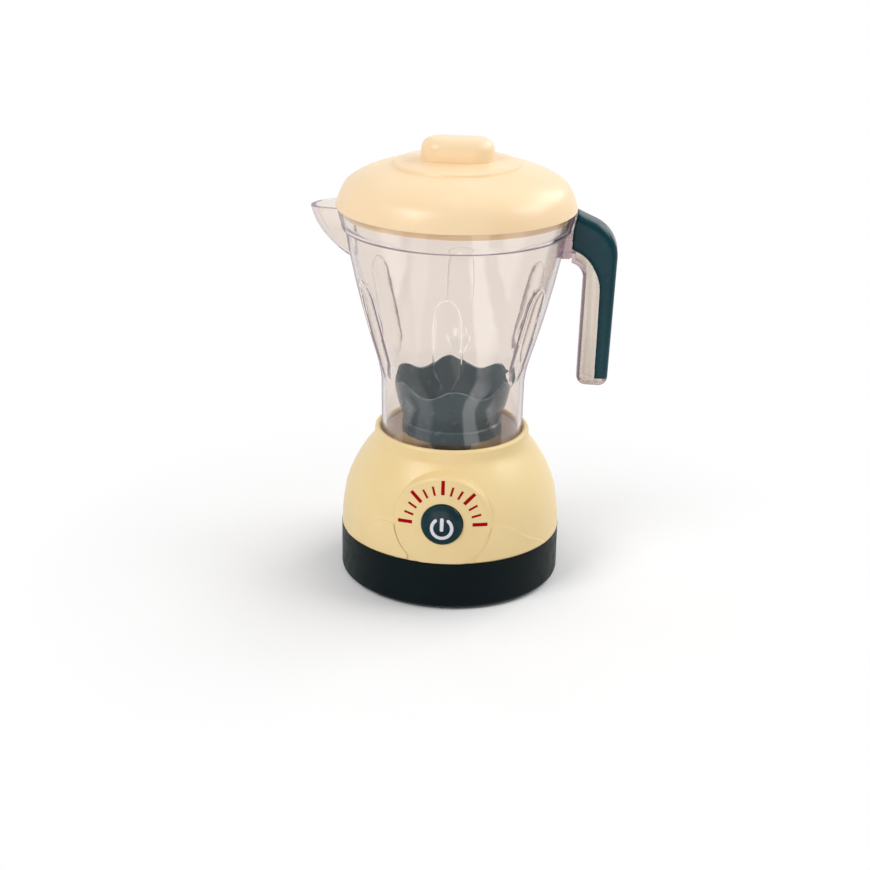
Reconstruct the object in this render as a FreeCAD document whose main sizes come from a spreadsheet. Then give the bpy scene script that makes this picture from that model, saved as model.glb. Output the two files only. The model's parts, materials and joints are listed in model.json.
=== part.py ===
import FreeCAD, Part
import math
import os
import Sketcher

# Toy jug blender with a battery motor in its base.
# Lengths are millimetres and angles degrees. The jug's axis is Z, the table is z = 0,
# the push button faces -Y, the spout points to -X and the handle is at +X.

V = FreeCAD.Vector
doc = FreeCAD.newDocument("ToyJugBlender")
sheet = doc.addObject("Spreadsheet::Sheet", "Sizes")
pieces = []


# Sizes that keep their own formula, so that every outline stays bound to the sheet

class Size:
    def __init__(self, text, value):
        self.text = text
        self.value = value

    def __add__(self, other):
        other = size(other)
        return Size(f"({self.text} + {other.text})", self.value + other.value)

    def __sub__(self, other):
        other = size(other)
        return Size(f"({self.text} - {other.text})", self.value - other.value)

    def __mul__(self, other):
        other = size(other)
        return Size(f"{self.text} * {other.text}", self.value * other.value)

    def __truediv__(self, other):
        other = size(other)
        return Size(f"{self.text} / {other.text}", self.value / other.value)

    def __neg__(self):
        return Size(f"(-1 * {self.text})", -self.value)

    def __radd__(self, other):
        return size(other) + self

    def __rsub__(self, other):
        return size(other) - self

    def __rmul__(self, other):
        return size(other) * self


def size(number):
    if isinstance(number, Size):
        return number
    return Size(f"({float(number)})", float(number))


def dimension(alias, value):
    row = dimension.row = dimension.row + 1
    sheet.set(f"A{row}", alias)
    sheet.set(f"B{row}", str(value))
    sheet.setAlias(f"B{row}", alias)
    return Size(f"Sizes.{alias}", float(value))


dimension.row = 0


def cosine(angle):
    return Size(f"cos({angle.text} * 1deg)", math.cos(math.radians(angle.value)))


def sine(angle):
    return Size(f"sin({angle.text} * 1deg)", math.sin(math.radians(angle.value)))


def root(number):
    return Size(f"sqrt({number.text})", math.sqrt(number.value))


def bind(thing, name, length):
    thing.setExpression(name, size(length).text)


# Builders: outlines, turned and padded bodies, primitives and booleans

def place(thing, x=0, y=0, z=0):
    for axis, length in (("x", x), ("y", y), ("z", z)):
        bind(thing, f"Placement.Base.{axis}", length)
    return thing


def turn(thing, axis, angle):
    thing.Placement = FreeCAD.Placement(thing.Placement.Base, FreeCAD.Rotation(axis, 10))
    bind(thing, "Placement.Rotation.Angle", angle)
    return thing


def sagitta_point(start, end, radius):
    """Middle of the short arc from start to end; a positive radius turns it to the left."""
    chord = end - start
    rise = abs(radius) - math.sqrt(max(radius ** 2 - chord.Length ** 2 / 4, 0))
    outward = V(chord.y, -chord.x, 0).normalize()
    return (start + end) * 0.5 + outward * math.copysign(rise, radius)


def outline(body, label, plane, corners, offset=0, axis=None):
    """A closed sketch. A corner is (x, y), or (x, y, radius) where an arc leads on from it."""
    sketch = body.newObject("Sketcher::SketchObject", label)
    sketch.AttachmentSupport = [(f, "") for f in body.Origin.OriginFeatures if f.Role == plane]
    sketch.MapMode = "FlatFace"
    bind(sketch, "AttachmentOffset.Base.z", offset)
    corners = [tuple(size(part) for part in corner) for corner in corners]
    spots = [V(corner[0].value, corner[1].value, 0) for corner in corners]
    ends = []
    for i, corner in enumerate(corners):
        here, there = spots[i], spots[(i + 1) % len(spots)]
        if len(corner) == 3:
            middle = sagitta_point(here, there, corner[2].value)
            sketch.addGeometry(Part.Arc(here, middle, there), False)
            ends.append((1, 2) if corner[2].value > 0 else (2, 1))
        else:
            sketch.addGeometry(Part.LineSegment(here, there), False)
            ends.append((1, 2))
    for i, (_, end) in enumerate(ends):
        after = (i + 1) % len(ends)
        sketch.addConstraint(Sketcher.Constraint("Coincident", i, end, after, ends[after][0]))
    for i, corner in enumerate(corners):
        fix(sketch, Sketcher.Constraint("DistanceX", -1, 1, i, ends[i][0], corner[0].value), corner[0])
        fix(sketch, Sketcher.Constraint("DistanceY", -1, 1, i, ends[i][0], corner[1].value), corner[1])
        if len(corner) == 3:
            bend = corner[2] if corner[2].value > 0 else -corner[2]
            fix(sketch, Sketcher.Constraint("Radius", i, bend.value), bend)
    if axis:
        draw_axis(sketch, *axis)
    return sketch


def fix(sketch, constraint, length):
    index = sketch.addConstraint(constraint)
    if "Sizes." in length.text:
        sketch.setExpression(f"Constraints[{index}]", length.text)


def draw_axis(sketch, start, end):
    """A construction line to turn a profile about."""
    line = sketch.addGeometry(
        Part.LineSegment(V(start[0].value, start[1].value, 0), V(end[0].value, end[1].value, 0)), True
    )
    for which, spot in ((1, start), (2, end)):
        fix(sketch, Sketcher.Constraint("DistanceX", -1, 1, line, which, spot[0].value), spot[0])
        fix(sketch, Sketcher.Constraint("DistanceY", -1, 1, line, which, spot[1].value), spot[1])


def bow(start, end, rise, steps):
    """Corners from start up to, but not at, end on a shallow curve that bulges outward by rise."""
    corners = []
    for i in range(steps):
        part = i / steps
        bulge = size(rise) * (4 * part * (1 - part))
        corners.append((
            size(start[0]) + (size(end[0]) - start[0]) * part + bulge,
            size(start[1]) + (size(end[1]) - start[1]) * part,
        ))
    return corners


def rounding(x, y, radius, first, last, steps):
    """Corners round the centre (x, y) from one heading to another."""
    corners = []
    for i in range(steps + 1):
        heading = math.radians(first + (last - first) * i / steps)
        corners.append((size(x) + size(radius) * math.cos(heading), size(y) + size(radius) * math.sin(heading)))
    return corners


def revolve(label, corners):
    """A body turned about Z from corners (radius, height)."""
    body = doc.addObject("PartDesign::Body", label)
    profile = outline(body, label + "_profile", "XZ_Plane", corners)
    solid = body.newObject("PartDesign::Revolution", label + "_turned")
    solid.Profile = (profile, [""])
    solid.ReferenceAxis = (profile, ["V_Axis"])
    solid.Angle = 360
    return body


def slab(label, corners, bottom, height):
    """A body padded up from the height of its bottom, with corners (x, y)."""
    body = doc.addObject("PartDesign::Body", label)
    profile = outline(body, label + "_profile", "XY_Plane", corners, bottom)
    solid = body.newObject("PartDesign::Pad", label + "_pad")
    solid.Profile = (profile, [""])
    bind(solid, "Length", height)
    return body


def side_slab(label, corners, width, front=None):
    """A body padded along Y from corners (x, z): about y = 0, or forward from y = -front."""
    body = doc.addObject("PartDesign::Body", label)
    profile = outline(body, label + "_profile", "XZ_Plane", corners, 0 if front is None else front)
    solid = body.newObject("PartDesign::Pad", label + "_pad")
    solid.Profile = (profile, [""])
    bind(solid, "Length", width)
    if front is None:
        solid.SideType = "Symmetric"
    return body


def round_edges(body, label, radius, chosen):
    """Fillets the edges of a body for which chosen(edge) holds."""
    doc.recompute()
    names = [f"Edge{i + 1}" for i, edge in enumerate(body.Tip.Shape.Edges) if chosen(edge)]
    fillet = body.newObject("PartDesign::Fillet", label)
    fillet.Base = (body.Tip if body.Tip != fillet else body.Group[-2], names)
    bind(fillet, "Radius", radius)
    return body


def cylinder(label, radius, height, x=0, y=0, z=0):
    thing = doc.addObject("Part::Cylinder", label)
    bind(thing, "Radius", radius)
    bind(thing, "Height", height)
    return place(thing, x, y, z)


def cone(label, lower, upper, height, x=0, y=0, z=0):
    thing = doc.addObject("Part::Cone", label)
    bind(thing, "Radius1", lower)
    bind(thing, "Radius2", upper)
    bind(thing, "Height", height)
    return place(thing, x, y, z)


def box(label, length, width, height, x=0, y=0, z=0):
    """A box centred on (x, y) that stands on z."""
    thing = doc.addObject("Part::Box", label)
    bind(thing, "Length", length)
    bind(thing, "Width", width)
    bind(thing, "Height", height)
    return place(thing, x - size(length) / 2, y - size(width) / 2, z)


def fuse(label, *parts):
    joined = doc.addObject("Part::MultiFuse", label)
    joined.Shapes = list(parts)
    joined.Refine = True
    return joined


def cut(label, base, *tools):
    tool = tools[0] if len(tools) == 1 else fuse(label + "_tools", *tools)
    result = doc.addObject("Part::Cut", label)
    result.Base = base
    result.Tool = tool
    result.Refine = True
    return result


def common(label, base, tool):
    result = doc.addObject("Part::Common", label)
    result.Base = base
    result.Tool = tool
    result.Refine = True
    return result


def tube(label, outer, bore, height, x=0, y=0, z=0):
    return cut(
        label,
        cylinder(label + "_outside", outer, height, x, y, z),
        cylinder(label + "_bore", bore, height, x, y, z),
    )


def screw(label, head, head_height, shank, length, x=0, y=0, z=0):
    """A screw driven upwards: its head's top face is at z."""
    return fuse(
        label,
        cylinder(label + "_head", head, head_height, x, y, z - head_height),
        cylinder(label + "_shank", shank, length, x, y, z),
    )


def keep(piece):
    pieces.append(piece)
    return piece


# Driving dimensions

base_radius = dimension("base_radius", 60)
foot_lift = dimension("foot_lift", 1.2)
seam_height = dimension("seam_height", 27)
wall = dimension("wall", 2.2)
floor_wall = dimension("floor_wall", 2)
seat_gap = dimension("seat_gap", 0.05)
run_gap = dimension("run_gap", 0.05)
part_gap = dimension("part_gap", 0.3)

well_floor = dimension("well_floor", 68)
well_radius = dimension("well_radius", 38.5)
well_depth = dimension("well_depth", 15.5)
collar_wall = dimension("collar_wall", 3.5)

button_height = dimension("button_height", 48.8)
button_tilt = dimension("button_tilt", 8)
button_radius = dimension("button_radius", 10.8)
button_travel = dimension("button_travel", 2.5)
boss_radius = dimension("boss_radius", 25)

cell_radius = dimension("cell_radius", 7.1)
cell_length = dimension("cell_length", 49.2)

tooth_module = dimension("tooth_module", 0.8)
motor_radius = dimension("motor_radius", 10)
motor_length = dimension("motor_length", 25)
shaft_radius = dimension("shaft_radius", 2)
axle_radius = dimension("axle_radius", 1)
coupler_radius = dimension("coupler_radius", 8.5)

jar_foot_radius = dimension("jar_foot_radius", 38.1)
jar_wall = dimension("jar_wall", 2)
jar_height = dimension("jar_height", 137.3)
jar_rim_radius = dimension("jar_rim_radius", 62.6)
flute_radius = dimension("flute_radius", 15.6)
spout_reach = dimension("spout_reach", 76.9)
handle_reach = dimension("handle_reach", 85)
handle_width = dimension("handle_width", 17)
cup_foot_radius = dimension("cup_foot_radius", 27.2)
cup_rim_radius = dimension("cup_rim_radius", 32.2)
cup_height = dimension("cup_height", 31)
lid_height = dimension("lid_height", 24)
knob_length = dimension("knob_length", 38)
knob_width = dimension("knob_width", 22)
knob_height = dimension("knob_height", 11.4)

# Levels that several pieces share

floor_top = foot_lift + floor_wall
collar_top = well_floor + well_depth
collar_radius = well_radius + collar_wall
jar_floor = well_floor + 11
jar_inside = jar_floor + 2.5
rim = well_floor + jar_height
plate_bottom = well_floor - 22
plate_top = plate_bottom + 2.5
ceiling = well_floor - wall


# Feet: one soft ring let into the underside

ring_outer = base_radius - 4
ring_inner = base_radius - 9
ring_depth = dimension("ring_depth", 1)
foot_ring = keep(tube("foot_ring", ring_outer, ring_inner, foot_lift + ring_depth))


# Battery bay, shared by the skirt, its cover and the cells

bay_y = dimension("bay_y", 21.5)
bay_length = cell_length + 8.8
bay_width = cell_radius * 4 + 1.6
bay_top = foot_lift + cell_radius * 2 + 2.8
ledge = dimension("ledge", 0.9)
cover_gap = dimension("cover_gap", 0.2)
tab_width = dimension("tab_width", 11)
cover_length = bay_length + (ledge - cover_gap) * 2
cover_width = bay_width + (ledge - cover_gap) * 2
cover_front = bay_y - cover_width / 2
tab_screw_y = cover_front - 5.3
tab_front = tab_screw_y - 4.5
hook_x = dimension("hook_x", 18)
hook_width = dimension("hook_width", 6)
hook_height = dimension("hook_height", 1)
bay_back = bay_y + bay_width / 2

cover_screw_head = dimension("cover_screw_head", 2.5)
screw_radius = dimension("screw_radius", 1.3)

# Screws that hold the housing on the skirt

post_circle = base_radius - 14
post_angles = (20, 160, 225, 315)
post_bottom = seam_height - 3
post_radius = dimension("post_radius", 3.5)
screw_head = dimension("screw_head", 2.7)
screw_seat = post_bottom - 4


def post_spots():
    for angle in post_angles:
        heading = math.radians(angle)
        yield post_circle * math.cos(heading), post_circle * math.sin(heading)


# Base skirt: dark tray with the battery bay, screw bosses and the lip under the seam

skirt_edge = dimension("skirt_edge", 2)
lip_height = dimension("lip_height", 2.5)
housing_edge = base_radius - 0.2
housing_inner = housing_edge - wall
lip_outer = housing_inner - cover_gap * 2
lip_inner = lip_outer - 1.5
skirt_inner = base_radius - floor_wall
skirt_shell = revolve("skirt_shell", [
    (0, foot_lift),
    *rounding(base_radius - skirt_edge, foot_lift + skirt_edge, skirt_edge, -90, 0, 3),
    (base_radius, seam_height),
    (lip_outer, seam_height),
    (lip_outer, seam_height + lip_height),
    (lip_inner, seam_height + lip_height),
    (lip_inner, seam_height - 4),
    (skirt_inner, seam_height - 6),
    (skirt_inner, floor_top),
    (0, floor_top),
])


def skirt_additions():
    boss = post_radius + 0.5
    yield box("bay_block", bay_length + floor_wall * 2, bay_width + floor_wall * 2,
              bay_top + wall - floor_top, 0, bay_y, floor_top)
    yield box("tab_roof", tab_width + floor_wall * 2, cover_front - tab_front + floor_wall * 2, wall,
              0, (cover_front + tab_front) / 2, floor_top)
    yield cylinder("tab_boss", post_radius, 9, 0, tab_screw_y, floor_top)
    for i, (x, y) in enumerate(post_spots()):
        yield cylinder(f"skirt_boss_{i}", boss, post_bottom - floor_top, x, y, floor_top)


def skirt_openings():
    opening = cover_gap * 2
    yield tube("ring_groove", ring_outer, ring_inner, ring_depth, 0, 0, foot_lift)
    yield box("bay_room", bay_length, bay_width, bay_top - floor_top, 0, bay_y, floor_top)
    yield box("cover_opening", cover_length + opening, cover_width + opening, floor_wall,
              0, bay_y, foot_lift)
    yield box("tab_opening", tab_width + opening, cover_front - tab_front + cover_gap, floor_wall,
              0, (cover_front + tab_front - cover_gap) / 2, foot_lift)
    yield cylinder("tab_pilot", screw_radius + seat_gap, 8, 0, tab_screw_y, floor_top)
    for i, x in enumerate((-hook_x, hook_x)):
        yield box(f"hook_slot_{i}", hook_width + opening, floor_wall + 0.4, hook_height + cover_gap,
                  x, bay_back + floor_wall / 2, floor_top)
    for i, (x, y) in enumerate(post_spots()):
        yield cylinder(f"screw_well_{i}", screw_head + part_gap, screw_seat - foot_lift, x, y, foot_lift)
        yield cylinder(f"screw_way_{i}", screw_radius + part_gap, post_bottom - screw_seat, x, y, screw_seat)


skirt_body = fuse("skirt_body", skirt_shell, *skirt_additions())
base_skirt = keep(cut("base_skirt", skirt_body, *skirt_openings()))


# Battery cover: plate with a screw tab in front and two hooks behind

def cover_parts():
    yield box("cover_plate", cover_length, cover_width, floor_wall, 0, bay_y, foot_lift)
    yield box("cover_tab", tab_width, cover_front - tab_front, floor_wall,
              0, (cover_front + tab_front) / 2, foot_lift)
    for i, x in enumerate((-hook_x, hook_x)):
        yield box(f"cover_hook_{i}", hook_width, 5.5, hook_height, x, bay_back + 0.25, floor_top)


cover_body = fuse("cover_body", *cover_parts())
tab_seat = foot_lift + 1.2
battery_cover = keep(cut(
    "battery_cover",
    cover_body,
    cylinder("tab_head_well", cover_screw_head + part_gap, tab_seat - foot_lift, 0, tab_screw_y, foot_lift),
    cylinder("tab_screw_way", screw_radius + seat_gap, floor_top - tab_seat, 0, tab_screw_y, tab_seat),
))
keep(screw("battery_cover_screw", cover_screw_head, 1.1, screw_radius, 8, 0, tab_screw_y, tab_seat))


# Cells: two lying side by side, turned opposite ways, between sprung contacts

cell_height = foot_lift + floor_wall + cell_radius + 0.3
nub_length = dimension("nub_length", 1.3)
contact_wall = dimension("contact_wall", 0.6)
lying = V(0, 1, 0)


def cell(name, side):
    """side is +1 where the nub points to +X."""
    y = bay_y + (cell_radius + 0.2) * side
    body = cylinder(name + "_can", cell_radius, cell_length, -cell_length / 2, y, cell_height)
    nub_x = cell_length / 2 if side > 0 else -cell_length / 2 - nub_length
    nub = cylinder(name + "_nub", cell_radius * 0.38, nub_length, nub_x, y, cell_height)
    return turn(body, lying, 90), turn(nub, lying, 90)


batteries = keep(fuse("batteries", *cell("cell_a", 1), *cell("cell_b", -1)))


def contacts():
    inner = bay_length / 2 - contact_wall
    for end in (1, -1):
        yield box(f"contact_leaf_{end + 1}", contact_wall, cell_radius * 4 - 2, cell_radius * 1.7,
                  (inner + contact_wall / 2) * end, bay_y, cell_height - cell_radius * 0.85)
        for side in (1, -1):
            near = cell_length / 2 + (nub_length if end == side else 0)
            reach = inner - near
            wide, narrow = (2.2, 1.6) if end == side else (4.2, 2.6)
            if end > 0:
                wide, narrow = narrow, wide
            spring = cone(f"contact_spring_{end + 1}_{side + 1}", wide, narrow, reach,
                          near if end > 0 else -inner, bay_y + (cell_radius + 0.2) * side, cell_height)
            yield turn(spring, lying, 90)


battery_contacts = keep(fuse("battery_contacts", *contacts()))


# Housing: cream shell with the well for the jug, the button's boss and two side mouldings

shoulder_height = seam_height + 21.6
shoulder_radius = base_radius - 2.4
neck_height = collar_top - 7.7
neck_radius = collar_radius + 1.2
side_bulge = dimension("side_bulge", 0.55)
dome_bulge = dimension("dome_bulge", 1.9)
collar_round = collar_wall / 2


def dome(grow, bottom):
    """Corners of the housing's outer side from its lower edge up to the neck."""
    edge = (housing_edge + grow, bottom)
    shoulder = (shoulder_radius + grow, shoulder_height)
    neck = (neck_radius + grow, neck_height)
    return bow(edge, shoulder, side_bulge, 3) + bow(shoulder, neck, dome_bulge, 5) + [neck]


housing_outside = revolve("housing_outside", [(0, seam_height)] + dome(0, seam_height) + [
    (collar_radius, collar_top - 5.3),
    *rounding(well_radius + collar_round, collar_top - collar_round, collar_round, 0, 180, 6),
    (well_radius, well_floor),
    (0, well_floor),
])
housing_inside = revolve("housing_inside", [
    (0, seam_height),
    (housing_inner, seam_height),
    (shoulder_radius - wall, shoulder_height - 1),
    (base_radius - 8.6, neck_height - 17.4),
    (base_radius - 13.5, neck_height - 8.8),
    (well_radius + wall + 0.6, neck_height - 1.8),
    (well_radius + wall, neck_height - 1.8),
    (well_radius + wall, ceiling),
    (0, ceiling),
])

# The boss stands out of the dome around the button; its face is nearly upright.
# Its parts, like the button's, are drawn on a Z axis and then leaned towards the front.

face_low = base_radius + 0.6
face_high = base_radius - 6.2
face_bend = dimension("face_bend", 500)
face_reach = boss_radius + 5
boss_depth = dimension("boss_depth", 14)
boss_round = dimension("boss_round", 2.5)
button_reach = base_radius - 1.9


def lean(thing):
    place(thing, 0, -button_reach, button_height)
    return turn(thing, V(1, 0, 0), 90 - button_tilt)


def boss_face(label, shrink):
    return revolve(label, [
        (well_radius, button_height - face_reach),
        (face_low - shrink, button_height - face_reach, face_bend),
        (face_high - shrink, button_height + face_reach),
        (well_radius, button_height + face_reach),
    ])


def boss_cone(label, shrink):
    return lean(cone(label, boss_radius + 2 - shrink, boss_radius - 0.6 - shrink, boss_depth + 8,
                     0, 0, 0))


def back_off(thing, depth):
    """Moves a leaned piece back into the base along the button's axis."""
    bind(thing, "Placement.Base.y", -button_reach + depth * cosine(button_tilt))
    bind(thing, "Placement.Base.z", button_height - depth * sine(button_tilt))
    return thing


boss_outline = back_off(boss_cone("boss_outline", size(0)), boss_depth)
boss_block = common("boss_block", boss_face("boss_front", size(0)), boss_outline)
above_seam = box("above_seam", boss_radius * 3, base_radius, well_depth + well_floor,
                 0, -base_radius / 2 - boss_depth, seam_height)
boss_blunt = common("boss_blunt", boss_block, above_seam)
boss_block.Refine = False
boss_blunt.Refine = False
doc.recompute()


def is_face_edge(edge):
    """Whether an edge of the boss runs round its front, above the seam."""
    middle = edge.valueAt((edge.FirstParameter + edge.LastParameter) / 2)
    at_front = math.hypot(middle.x, middle.y) > face_high.value - 0.5
    return at_front and middle.z > seam_height.value + 0.5


# The fillet runs round a curved face, which only a worked-out shape holds.
boss_solid = boss_blunt.Shape.Solids[0]
boss = doc.addObject("Part::Feature", "boss")
boss.Shape = boss_solid.makeFillet(boss_round.value, [e for e in boss_solid.Edges if is_face_edge(e)])
boss_room = common("boss_room", boss_face("boss_room_front", wall),
                   back_off(boss_cone("boss_room_cone", wall), boss_depth - 2))

# Side mouldings: low wings that sweep up from the seam and end at the boss

wing_rise = dimension("wing_rise", 0.55)


def wing(side):
    """side is +1 for the right-hand wing."""
    seam = seam_height + 0.6
    corners = [
        (54, seam), (49.8, seam + 4.5), (42, seam + 10.6), (37.4, seam + 15.1, 14),
        (32.2, seam + 18, 14), (25.9, seam + 17.6), (18, seam + 17.6), (18, seam),
    ]
    if side < 0:
        corners = [(-corner[0], *corner[1:2], *(-bend for bend in corner[2:])) for corner in corners]
    return side_slab(f"wing_{side + 1}", corners, base_radius, size(20))


wing_skin = revolve("wing_skin", [(20, seam_height + 0.6)] + dome(wing_rise, seam_height + 0.6)
                    + [(20, neck_height)])
wing_blocks = common("wing_blocks", fuse("wing_pair", wing(1), wing(-1)), wing_skin)
wings = cut("wings", wing_blocks, boss_outline)

# Inside the housing: button guide, switch posts, screw posts, bearings and gearbox posts

guide_radius = button_radius + part_gap
guide_end = button_travel + 4.5
switch_post_x = dimension("switch_post_x", 16.5)
bracket_depth = guide_end + 9
gear_post_x = dimension("gear_post_x", 15)
gear_post_y = dimension("gear_post_y", 26)

output_teeth, idler_wheel_teeth, idler_pinion_teeth, motor_teeth = 36, 32, 12, 10
idler_x = tooth_module * (output_teeth + idler_pinion_teeth) / 2
motor_mesh_angle = dimension("motor_mesh_angle", -60)
motor_mesh_distance = tooth_module * (idler_wheel_teeth + motor_teeth) / 2
motor_x = idler_x + motor_mesh_distance * cosine(motor_mesh_angle)
motor_y = motor_mesh_distance * sine(motor_mesh_angle)
bush_radius = shaft_radius + 1
output_boss_bottom = well_floor - 5
idler_boss_bottom = well_floor - 3.7


def gear_post_spots():
    for x in (-gear_post_x, gear_post_x):
        for y in (-gear_post_y, gear_post_y):
            yield x, y


def guide_parts():
    long = bracket_depth + 3
    yield back_off(lean(cylinder("guide_tube", guide_radius + 1.9, guide_end + 3)), guide_end)
    for i, x in enumerate((-switch_post_x, switch_post_x)):
        post = back_off(lean(cylinder(f"switch_post_{i}", 2.6, long)), bracket_depth)
        bind(post, "Placement.Base.x", x)
        yield post


def guide_holes():
    yield back_off(lean(cylinder("button_way", guide_radius, guide_end + 6)), guide_end)
    for i, x in enumerate((-switch_post_x, switch_post_x)):
        pilot = back_off(lean(cylinder(f"switch_pilot_{i}", axle_radius, 8)), bracket_depth)
        bind(pilot, "Placement.Base.x", x)
        yield pilot


# The guide and its posts run back from the inside of the boss's face.
guide_front = boss_face("guide_front", wall / 2)
guide_zone = fuse("guide_zone", guide_front, housing_inside)
guide_works = common("guide_works", fuse("guide_block", *guide_parts()), guide_zone)


def housing_posts():
    for i, (x, y) in enumerate(post_spots()):
        yield cylinder(f"housing_post_{i}", post_radius, neck_height - post_bottom, x, y, post_bottom)


post_zone = revolve("post_zone", [(20, post_bottom), (housing_inner - 1, post_bottom)]
                    + dome(-wall / 2, seam_height)[1:] + [(20, neck_height)])
screw_posts = common("screw_posts", fuse("screw_post_set", *housing_posts()), post_zone)


def bearing_parts():
    yield cylinder("output_boss", bush_radius + 2.5, well_floor - output_boss_bottom, 0, 0, output_boss_bottom)
    yield cylinder("idler_boss", axle_radius + 2, ceiling - idler_boss_bottom, idler_x, 0, idler_boss_bottom)
    for i, (x, y) in enumerate(gear_post_spots()):
        yield cylinder(f"gear_post_{i}", 3.2, ceiling - plate_top, x, y, plate_top)
    for i, angle in enumerate((90, 210, 330)):
        yield key_block(f"well_rib_{i}", angle, 3, 4)


def key_block(label, angle, width, height):
    """A small block on the inside of the well that stops the jug from turning."""
    block = box(label, 2.4, width, height, 0, 0, well_floor)
    bind(block, "Placement.Base.x", key_radius * math.cos(math.radians(angle))
         + size(width) / 2 * math.sin(math.radians(angle)))
    bind(block, "Placement.Base.y", key_radius * math.sin(math.radians(angle))
         - size(width) / 2 * math.cos(math.radians(angle)))
    return turn(block, V(0, 0, 1), angle)


key_radius = well_radius - 2


def housing_holes():
    yield cylinder("bush_way", bush_radius + seat_gap, well_floor - output_boss_bottom, 0, 0, output_boss_bottom)
    yield cylinder("idler_socket", axle_radius + seat_gap, 2.2, idler_x, 0, idler_boss_bottom)
    for i, (x, y) in enumerate(post_spots()):
        yield cylinder(f"housing_pilot_{i}", screw_radius + seat_gap, 9, x, y, post_bottom)
    for i, (x, y) in enumerate(gear_post_spots()):
        yield cylinder(f"gear_pilot_{i}", axle_radius + seat_gap, 9, x, y, plate_top)


housing_skin = cut("housing_skin", fuse("housing_block", housing_outside, boss, wings),
                   housing_inside, boss_room)
housing_body = fuse("housing_body", housing_skin, guide_works, screw_posts, *bearing_parts())
base_housing = keep(cut("base_housing", housing_body, *guide_holes(), *housing_holes()))
keep(fuse("housing_screws", *(
    screw(f"housing_screw_{i}", screw_head, 2, screw_radius, 12, x, y, screw_seat)
    for i, (x, y) in enumerate(post_spots())
)))


# Push button with its spring and the switch behind it, drawn on Z and leaned into place

crown = dimension("crown", 1.8)
button_edge = dimension("button_edge", 0.6)
flange_top = -(guide_end + 0.1)
flange_bottom = flange_top - 1.5
stem_radius = dimension("stem_radius", 2.5)
stem_end = flange_bottom - 2.9
roof = button_edge - 2

crown_span = button_radius - 0.6
crown_rise = crown - button_edge


def crown_corners(steps):
    """The button's domed face, from its rim to its middle."""
    for i in range(steps + 1):
        part = 1 - i / steps
        yield crown_span * part, button_edge + crown_rise * (1 - part ** 2)


power_button = keep(lean(revolve("power_button", [
    (0, stem_end),
    (stem_radius, stem_end),
    (stem_radius, roof),
    (button_radius - 1.8, roof),
    (button_radius - 1.8, flange_bottom),
    (button_radius + 1.8, flange_bottom),
    (button_radius + 1.8, flange_top),
    (button_radius, flange_top),
    (button_radius, button_edge - 0.6),
    *crown_corners(4),
])))

plunger_radius = dimension("plunger_radius", 1.5)
plunger_end = -(bracket_depth + 3.5)
keep(lean(revolve("switch_plunger", [
    (0, plunger_end), (plunger_radius, plunger_end), (plunger_radius, stem_end), (0, stem_end),
])))

bracket_wall = dimension("bracket_wall", 2)
bracket = cut(
    "switch_bracket",
    box("bracket_plate", switch_post_x * 2 + 7, 10, bracket_wall, 0, 0, -bracket_depth - bracket_wall),
    cylinder("plunger_way", plunger_radius + 0.6, bracket_wall, 0, 0, -bracket_depth - bracket_wall),
    cylinder("bracket_hole_0", axle_radius + 0.2, bracket_wall, -switch_post_x, 0, -bracket_depth - bracket_wall),
    cylinder("bracket_hole_1", axle_radius + 0.2, bracket_wall, switch_post_x, 0, -bracket_depth - bracket_wall),
)
keep(lean(bracket))
keep(lean(fuse("bracket_screws", *(
    screw(f"bracket_screw_{i}", 2, 1.3, axle_radius - seat_gap, bracket_wall + 7, x, 0,
          -bracket_depth - bracket_wall)
    for i, x in enumerate((-switch_post_x, switch_post_x))
))))
switch_top = -bracket_depth - bracket_wall
switch_length = dimension("switch_length", 7)
push_switch = keep(lean(cut(
    "push_switch",
    box("switch_case", 8, 8, switch_length, 0, 0, switch_top - switch_length),
    cylinder("switch_bore", plunger_radius + 0.3, switch_length - 1.5, 0, 0, switch_top - switch_length + 1.5),
)))

# Return spring between the bracket and the inside of the button

spring_radius = dimension("spring_radius", 4)
wire_radius = dimension("wire_radius", 0.5)
spring_turns = 5
spring_steps = 12


def coil(bottom, top):
    """Square-section wire wound in short straight runs."""
    rings = []
    count = spring_turns * spring_steps
    for i in range(count + 1):
        heading = 2 * math.pi * i / spring_steps
        height = bottom + (top - bottom) * i / count
        inner = spring_radius.value - wire_radius.value
        outer = spring_radius.value + wire_radius.value
        rings.append(Part.makePolygon([
            V(radius * math.cos(heading), radius * math.sin(heading), height + rise)
            for radius, rise in (
                (inner, -wire_radius.value), (outer, -wire_radius.value),
                (outer, wire_radius.value), (inner, wire_radius.value), (inner, -wire_radius.value),
            )
        ]))
    return Part.makeLoft(rings, True, True)


button_spring = keep(doc.addObject("Part::Feature", "button_spring"))
button_spring.Shape = coil((wire_radius - bracket_depth).value, (roof - wire_radius).value)
lean(button_spring)


# Gear train under the well: motor pinion, double idler gear, output gear

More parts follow.
